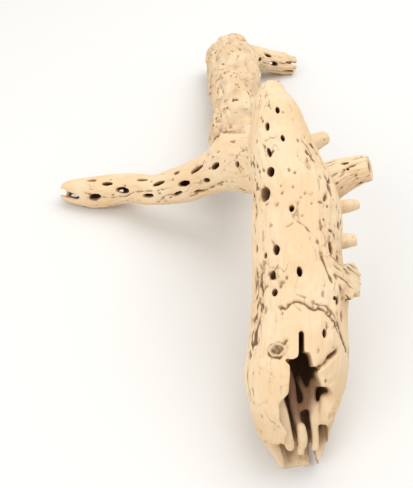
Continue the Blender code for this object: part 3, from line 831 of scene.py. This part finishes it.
# Small pits: station, angle, length, width, depth, darkness of the painted shade in them
TRUNK_PITS = (
    (226, 12, 12, 6, 1.8, 0.35), (222, -10, 4, 3.5, 1.2, 0.55), (213, -30, 5, 2.5, 0.9, 0.5),
    (209, -14, 5, 2.5, 0.9, 0.5), (201, 3, 5, 3.5, 1.0, 0.45), (193, 22, 3.5, 6, 1.0, 0.6),
    (191, 33, 3, 2.6, 1.2, 0.75), (179, 27, 3, 2.6, 1.2, 0.75), (184, 64, 7, 4, 1.5, 0.8),
    (193, 52, 6, 2.6, 1.2, 0.75), (181, -6, 2.6, 2.6, 0.8, 0.5), (172, 38, 3, 7, 1.3, 0.8),
    (197, -2, 4, 3, 0.8, 0.4), (193, -32, 5, 4, 1.0, 0.45), (197, -47, 4, 6, 1.0, 0.5),
    (238, -63, 5, 3, 1.2, 0.8), (233, -60, 4, 3, 1.2, 0.8), (246, -68, 5, 3, 1.2, 0.7),
    (107, -47, 8, 7, 1.6, 0.5), (128, -24, 5, 6, 1.2, 0.5), (118, 20, 8, 3, 0.9, 0.5),
    (65, -46, 5, 3, 0.5, 0.3), (37, 50, 7, 6, 1.2, 0.3), (30, -40, 6, 4, 0.8, 0.3),
)
# The ragged edge of the upper skin, over the smooth plate below it
TRUNK_LEDGE = (
    (107, -27), (107, -18), (110, -12), (111, -7), (110, 0), (107, 5), (106, 11), (107, 17),
    (106, 23), (103, 30), (99, 36), (96, 41), (93, 44),
)
# Rough patches: first and last station and soft edge, the same for the angle, then the lumps' size,
# height and darkness of the painted shade between them, and a seed
TRUNK_ROUGH = (
    ((229, 253, 7), (18, 60, 10), (4.5, 0.9, 0.8, 35)),
    ((209, 249, 8), (-92, -70, 8), (4.0, 0.9, 0.9, 37)),
    ((158, 176, 5), (18, 60, 8), (4.5, 0.7, 0.6, 43)),
)
SEAM_STATIONS = (84, 142, 14)   # the fissured seam: first and last station and soft edge
SEAM_ANGLE = (-64, 14)          # its angle and its width, in degrees
KNOT = (79, -25)            # the oval scar of a lost twig: station and angle
KNOT_SIZE = (6.5, 14)       # its length and width
# The fibrous flake: its middle's station and angle, how steeply its fibres run down to the right,
# then its lowest and highest place along the trunk, and how far its left edge lies from the middle
FLAKE = (138, 45)
FLAKE_SLOPE = 0.42
FLAKE_REACH = (-18, 12)
FLAKE_LEFT = (-9, -0.5)     # that distance at the middle's height, and its change per millimetre
FLAKE_RIGHT = (40, 46)      # it fades out between these distances on the right
FLAKE_FIBRES = (1.9, 15, 15)    # size of its fibres, across and along them
TORN = (80, 50)             # the torn mouth: its last station and widest angle
MOUTH_TOP = 98              # the last station of the slot over the mouth
# Strands of wood inside the torn mouth: station, angle, share of the radius, thickness
MOUTH_STRANDS = (
    ((79, -26, 0.7, 3), (67, -20, 0.58, 3.2), (58, -15, 0.5, 3.4), (49, -13, 0.48, 3.4),
     (39, -8, 0.46, 3.4), (30, -3, 0.46, 3.2), (21, 2, 0.48, 3), (12, 5, 0.5, 3)),
    ((52, -36, 0.72, 3.4), (41, -34, 0.68, 4), (29, -33, 0.7, 4), (16, -29, 0.7, 3.6)),
    ((64, 8, 0.24, 2.4), (60, 13, 0.36, 2.6), (52, 25, 0.44, 2.6), (46, 23, 0.44, 2.4),
     (42, 8, 0.42, 2.4)),
    ((42, -4, 0.42, 2.5), (44, 14, 0.42, 2.6), (44, 33, 0.48, 2.6)),
    ((62, 36, 0.54, 3), (53, 37, 0.52, 3.2), (44, 43, 0.54, 3.5), (34, 43, 0.58, 3.5),
     (24, 46, 0.64, 3.2), (15, 48, 0.7, 3)),
    ((30, 2, 0.58, 3.6), (23, 5, 0.6, 4), (17, 8, 0.58, 3.4)),
    ((50, 50, 0.8, 4.5), (42, 52, 0.82, 5), (34, 52, 0.8, 4.2)),
    ((24, -160, 0.8, 3.4), (16, -158, 0.8, 3.4), (8, -155, 0.8, 3.2), (1, -150, 0.8, 3)),
    ((3, -96, 0.84, 2.4), (1, -125, 0.84, 2.8), (1, -155, 0.82, 3), (1, -185, 0.82, 3),
     (3, -212, 0.84, 2.6)),
)
# Cracks and pits of the rear limb, in the same order of numbers
REAR_CRACKS = (
    (2.2, 2.6, 0.85, ((79, -82), (65, -59), (54, -44), (28, -22), (13, -8), (6, 1))),
    (0.8, 0.8, 0.7, ((111, -31), (102, -21), (97, -12))),
    (1.2, 1.4, 0.65, ((210, 1), (214, 11), (208, 24), (208, 35))),
    (1.3, 1.3, 0.5, ((342, -45), (343, -32), (351, -17))),
    (1.3, 1.3, 0.5, ((318, -43), (321, -26), (335, -12))),
    (1.2, 1.2, 0.5, ((163, 27), (137, 27), (116, 26))),
    (1.6, 1.2, 0.3, ((223, -43), (187, -48), (157, -49), (118, -46))),
    (1.6, 1.0, 0.3, ((158, -20), (125, -28), (94, -34), (61, -31))),
    (1.6, 1.6, 0.6, ((203, -2), (202, 6), (192, 19), (184, 23))),
    (1.4, 1.2, 0.4, ((328, -57), (322, -37), (321, -17))),
    (1.2, 1.4, 0.6, ((78, -25), (74, -13))),
)
REAR_PITS = (
    (236, -46, 6, 5, 1.6, 0.45), (298, -45, 8, 5, 1.6, 0.45), (229, -10, 4, 2, 0.8, 0.35),
    (161, 11, 5, 3, 1.0, 0.4), (274, -71, 9, 5, 1.8, 0.6), (295, -20, 7, 3, 0.9, 0.3),
    (129, -5, 8, 6, 3.0, 0.95), (97, -12, 5, 4, 2.0, 0.7), (106, 11, 3.5, 5, 1.5, 0.8),
    (125, -26, 7, 4, 1.2, 0.5), (178, -1, 4, 7, 2.0, 0.6), (258, -27, 7, 4, 2.0, 0.5),
    (63, -26, 5, 5, 2.0, 0.6), (75, -45, 5, 4, 2.0, 0.7), (67, -3, 3, 4, 1.0, 0.6),
    (203, 22, 12, 12, 3.0, 0.45),
)
# Smaller pits all over the rear limb: number, first and last station, seed
REAR_SCATTER = (170, 40, 345, 6)
REAR_RIDGES = ((2.2, (40, 9, 9), 41), (1.1, (18, 4, 4), 42))    # height, size along the grain, seed
REAR_CALM = 0.85            # share of the solid's rings that is smoothed away
REAR_EASE = 2.5             # how many times more its facets are eased than other limbs'
REAR_LEFT = (-110, -34, 14)     # its rougher left side: first and last angle and soft edge
REAR_END = (285, 320)       # stations between which its rougher end begins
# Cracks and pits of the left branch
LEFT_CRACKS = (
    (1.0, 1.3, 0.6, ((281, -52), (266, -66), (251, -84), (227, -92), (212, -69), (197, -61), (168, -62))),
    (1.2, 1.3, 0.6, ((257, -130), (240, -118), (226, -114))),
    (1.2, 1.3, 0.6, ((189, -114), (177, -85), (169, -87))),
    (1.5, 1.5, 0.7, ((154, -112), (138, -112), (118, -106), (107, -100))),
    (1.3, 1.3, 0.7, ((108, -99), (98, -92), (84, -97))),
    (1.4, 1.4, 0.8, ((48, -50), (38, -61), (33, -76), (38, -96))),
    (1.0, 1.0, 0.6, ((124, -34), (116, -24), (112, -13))),
)
LEFT_PITS = (
    (230, -5, 14, 2.5, 0.9, 0.2), (85, -12, 6, 5, 1.5, 0.6), (62, -38, 6, 5, 1.5, 0.6),
    (103, 15, 6, 4, 1.2, 0.5),
)


def scattered_pits(count, first, last, seed):
    """Return small pits, stretched along the grain, strewn all round a limb."""
    rng = random.Random(seed)
    pits = []
    for _ in range(count):
        station, angle = rng.uniform(first, last), rng.uniform(-180, 180)
        width, stretch = rng.uniform(2.4, 4.4), rng.uniform(1.5, 3.0)
        depth, dark = rng.uniform(1.0, 2.4), rng.uniform(0.4, 0.9)
        pits.append((station, angle, width * stretch, width, depth, dark))
    return pits


def knot_detail(skin):
    """Sink the oval scar in a raised rim, with dark pith inside and painted shade along its sunk outline.
    """
    x, y = (skin.station - KNOT[0]) / KNOT_SIZE[0] * 2, skin.around(KNOT[1]) / KNOT_SIZE[1] * 2
    away = np.hypot(x, y) + 0.12 * skin.wobble
    rim = ridge(away, 0.95, 0.15) * skin.outside
    inner = (1 - smoothstep(away, 0.7, 0.88)) * skin.outside
    outline = ridge(away, 1.16, 0.12) * skin.outside
    pith = noise_at(skin.points, 3.0, 33)
    skin.rise += 1.3 * rim - inner * (2.0 + 0.9 * pith) - 0.9 * outline
    skin.darken(inner * (0.62 + 0.35 * pith))
    skin.darken(0.75 * outline * skin.strength)


def flake_detail(skin):
    """Draw the flake's fibres side by side, down to the right, with painted shade in the gaps between
    them.
    """
    along, around = skin.station - FLAKE[0], skin.around(FLAKE[1])
    left, slant = FLAKE_LEFT
    zone = window(along, *FLAKE_REACH, 2) * smoothstep(around - left - slant * along, -1, 1)
    zone = zone * (1 - smoothstep(around, *FLAKE_RIGHT)) * skin.outside
    rows = np.stack([along + FLAKE_SLOPE * around, around, 0 * around], 1)
    fibre = noise_at(rows, FLAKE_FIBRES, 39)
    skin.rise += zone * (0.6 + 1.5 * fibre)
    skin.darken(zone * smoothstep(-fibre, 0.12, 0.5) * 0.85)


def ledge_detail(skin):
    """Raise the ragged lower edge of the upper skin over its shadow, and return the band above it."""
    stations, angles = zip(*TRUNK_LEDGE)
    ragged = 0.9 * skin.wobble + 1.8 * noise_at(skin.points, 3.0, 29)
    above = skin.station - (np.interp(skin.angle, angles, stations) + ragged)
    across = window(skin.angle, angles[0] + 4, angles[-1] - 4, 9) * skin.outside
    skin.rise += 1.5 * across * smoothstep(above, -0.6, 1.0) * np.exp(-np.maximum(above, 0) / 14)
    shadow = across * ridge(above, -0.9, 1.1)
    skin.rise -= 0.9 * shadow
    skin.darken(0.8 * shadow)
    return across * window(above, 0, 5, 3)


def seam_detail(skin):
    """Sink the seam down the trunk's left side, with fissures in it darkened by painted shade."""
    seam = window(skin.station, *SEAM_STATIONS) * ridge(skin.angle, *SEAM_ANGLE) * skin.outside
    rough = noise_at(skin.grain, (7, 2.6, 2.6), 31)
    skin.rise -= seam * (1.2 + 2.5 * rough)
    skin.darken(seam * smoothstep(-rough, -0.2, 0.3) * 0.95)


def trunk_detail(skin, look):
    """Draw the trunk's ledge, seam, knot, flake, mouth darkened by painted shade, cracks, pits and rough
    patches.
    """
    skin.weather(look, 1)
    band = ledge_detail(skin)
    seam_detail(skin)
    knot_detail(skin)
    flake_detail(skin)
    # Painted shade deep inside the torn mouth
    inside = window(skin.station, NEAR_END, MOUTH_TOP, 6) * smoothstep(skin.depth, 8, 17)
    skin.darken(0.8 * inside)
    skin.darken(0.25 * window(skin.station, NEAR_END, 30, 30))
    skin.carve(TRUNK_CRACKS)
    skin.dent(TRUNK_PITS)
    for stations, angles, lumps in TRUNK_ROUGH:
        skin.roughen(window(skin.station, *stations) * window(skin.angle, *angles), *lumps)
    skin.roughen(band * smoothstep(skin.angle, 2, 12), 3.5, 0.9, 0.7, 47)


def rear_detail(skin, look):
    """Draw the rear limb's ridges, weathered skin under painted shade, cracks and pits in place of the
    solid's rings.
    """
    skin.weather(look, 2)
    skin.calm_rings(REAR_CALM)
    ridges = sum(height * noise_at(skin.grain, size, seed) for height, size, seed in REAR_RIDGES)
    skin.rise += ridges * skin.outside
    # Painted shade: the whole rear limb is darkened, by an amount that varies along it
    weathered = 0.26 + 0.2 * noise_at(skin.grain, (30, 10, 10), 49)
    skin.darken(weathered * skin.outside)
    rougher = np.maximum(window(skin.angle, *REAR_LEFT), smoothstep(skin.station, *REAR_END))
    skin.roughen(0.35 + 0.65 * rougher, 6.0, 1.3, 0.5, 45)
    skin.carve(REAR_CRACKS)
    skin.dent(REAR_PITS)
    skin.dent(scattered_pits(*REAR_SCATTER))


def left_detail(skin, look):
    skin.weather(look, 3)
    skin.carve(LEFT_CRACKS)
    skin.dent(LEFT_PITS)


def stub_detail(skin, look):
    """Draw fine fibres with painted shade between them, rougher and darker towards the torn end."""
    skin.weather(look, 4)
    fine = noise_at(skin.grain, (26, 2.2, 2.2), 51)
    torn = smoothstep(skin.station, 0.3 * skin.limb.length, 0.9 * skin.limb.length)
    skin.rise += (0.5 + 1.1 * torn) * fine * skin.outside
    skin.darken((0.4 + 0.35 * torn) * smoothstep(-fine, 0.15, 0.5) * skin.outside)


class CHOLLA_OT_trunk(bpy.types.Operator):
    """Dress the trunk with its horn, torn end, pegs and bark"""

    bl_idname = "cholla.trunk"
    bl_label = "Trunk"

    def execute(self, context):
        dress_limb("trunk_wood", "trunk", "trunk_wood", trunk_detail, strands=MOUTH_STRANDS, torn=TORN)
        return {"FINISHED"}


class CHOLLA_OT_left_branch(bpy.types.Operator):
    """Dress the hollow left branch"""

    bl_idname = "cholla.left_branch"
    bl_label = "Left branch"

    def execute(self, context):
        dress_limb("left_branch_wood", "left_branch", "left_wood", left_detail, ("trunk",), share=0.9)
        return {"FINISHED"}


class CHOLLA_OT_rear_limb(bpy.types.Operator):
    """Dress the knobby rear limb"""

    bl_idname = "cholla.rear_limb"
    bl_label = "Rear limb"

    def execute(self, context):
        hosts = ("trunk", "left_branch")
        dress_limb("rear_limb_wood", "rear_limb", "rear_wood", rear_detail, hosts, ease=REAR_EASE)
        return {"FINISHED"}


class CHOLLA_OT_right_stub(bpy.types.Operator):
    """Dress the torn right stub"""

    bl_idname = "cholla.right_stub"
    bl_label = "Right stub"

    def execute(self, context):
        dress_limb("right_stub_wood", "right_stub", "stub_wood", stub_detail, ("trunk",), share=0.75)
        return {"FINISHED"}


class CHOLLA_OT_rear_twig(bpy.types.Operator):
    """Dress the splayed twig at the rear limb's end"""

    bl_idname = "cholla.rear_twig"
    bl_label = "Rear twig"

    def execute(self, context):
        dress_limb("rear_twig_wood", "rear_twig", "twig_wood", stub_detail, ("rear_limb",), share=0.75)
        return {"FINISHED"}


def area_light(name, place, aim, size, power):
    """Add a large soft light that looks at a point."""
    data = bpy.data.lights.new(name, "AREA")
    data.shape = "DISK"
    data.size = size
    data.energy = power
    light = add_object(name, data)
    light.location = place
    light.rotation_euler = (Vector(aim) - Vector(place)).to_track_quat("-Z", "Y").to_euler()


class CHOLLA_OT_stage(bpy.types.Operator):
    """Set the floor, the light and the camera"""

    bl_idname = "cholla.stage"
    bl_label = "Stage"

    def execute(self, context):
        stage = context.scene.cholla_stage
        self.make_floor(stage)
        self.make_light(stage)
        self.make_camera(stage)
        context.scene.view_settings.view_transform = "Standard"
        return {"FINISHED"}

    def make_floor(self, stage):
        shape = bmesh.new()
        bmesh.ops.create_grid(shape, x_segments=1, y_segments=1, size=stage.floor_width / 2)
        mesh = bpy.data.meshes.new("floor")
        shape.to_mesh(mesh)
        shape.free()
        floor = add_object("floor", mesh)
        g = Graph("floor_paper")
        g.shader.inputs["Base Color"].default_value = stage.floor_colour
        g.shader.inputs["Roughness"].default_value = 0.9
        mesh.materials.append(g.material)

    def make_light(self, stage):
        world = bpy.data.worlds.new("sky")
        world.use_nodes = True
        background = world.node_tree.nodes["Background"].inputs
        background["Color"].default_value = (1, 0.99, 0.97, 1)
        background["Strength"].default_value = stage.sky
        bpy.context.scene.world = world
        area_light("key", place=(0.5, 0.5, 1.6), aim=(0, 0, 0), size=1.6, power=stage.key_power)
        area_light("fill", place=(-0.9, -1.1, 1.0), aim=(0, -0.1, 0.05), size=1.2, power=stage.fill_power)

    def make_camera(self, stage):
        data = bpy.data.cameras.new("camera")
        data.lens = stage.lens
        camera = add_object("camera", data)
        camera.location = stage.camera_place
        camera.rotation_euler = (math.pi / 2 - stage.camera_down, 0, 0)
        bpy.context.scene.camera = camera


class CHOLLA_PT_panel(bpy.types.Panel):
    """Lists the pieces and the stage"""

    bl_label = "Cholla Wood"
    bl_idname = "CHOLLA_PT_panel"
    bl_space_type = "VIEW_3D"
    bl_region_type = "UI"
    bl_category = "Cholla"

    def draw(self, context):
        for operator in OPERATORS:
            self.layout.operator(operator.bl_idname)


OPERATORS = (
    CHOLLA_OT_stage, CHOLLA_OT_trunk, CHOLLA_OT_left_branch, CHOLLA_OT_rear_limb, CHOLLA_OT_right_stub,
    CHOLLA_OT_rear_twig,
)
CLASSES = (ChollaWood, ChollaStage, *OPERATORS, CHOLLA_PT_panel)


def register():
    for cls in CLASSES:
        bpy.utils.register_class(cls)
    bpy.types.Scene.cholla_wood = PointerProperty(type=ChollaWood)
    bpy.types.Scene.cholla_stage = PointerProperty(type=ChollaStage)


def unregister():
    del bpy.types.Scene.cholla_stage
    del bpy.types.Scene.cholla_wood
    for cls in reversed(CLASSES):
        bpy.utils.unregister_class(cls)


def main():
    register()
    bpy.ops.cholla.stage()
    bpy.ops.cholla.trunk()
    bpy.ops.cholla.left_branch()
    bpy.ops.cholla.rear_limb()
    bpy.ops.cholla.right_stub()
    bpy.ops.cholla.rear_twig()


if __name__ == "__main__":
    main()
